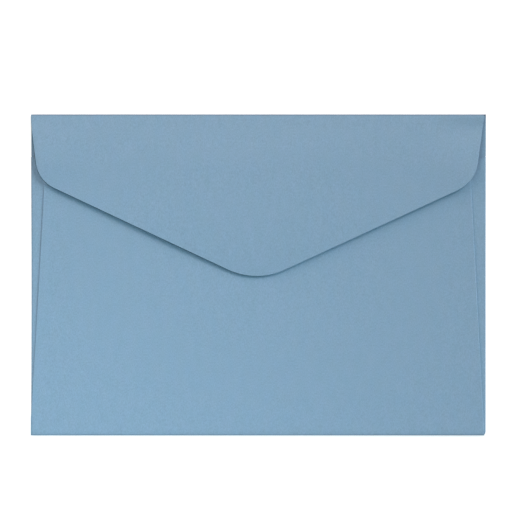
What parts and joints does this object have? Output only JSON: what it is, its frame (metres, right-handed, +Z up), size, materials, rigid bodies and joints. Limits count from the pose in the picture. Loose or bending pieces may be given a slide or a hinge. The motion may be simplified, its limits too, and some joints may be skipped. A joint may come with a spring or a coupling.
{
  "type": "paper envelope",
  "caption": "Plain side-seam paper envelope, closed and lying flat with its pointed flap side up.",
  "frame": {"origin": "under the middle of the front panel, on the surface that the envelope lies on", "axes": "+X along the width, to the right as seen from the flap side; +Y from the bottom fold to the top fold; +Z up out of the flap side"},
  "size_m": [0.229, 0.162, 0.0025],
  "materials": {
    "paper": "matte"
  },
  "bodies": {
    "root": {"envelope": "paper"}
  },
  "joints": []
}
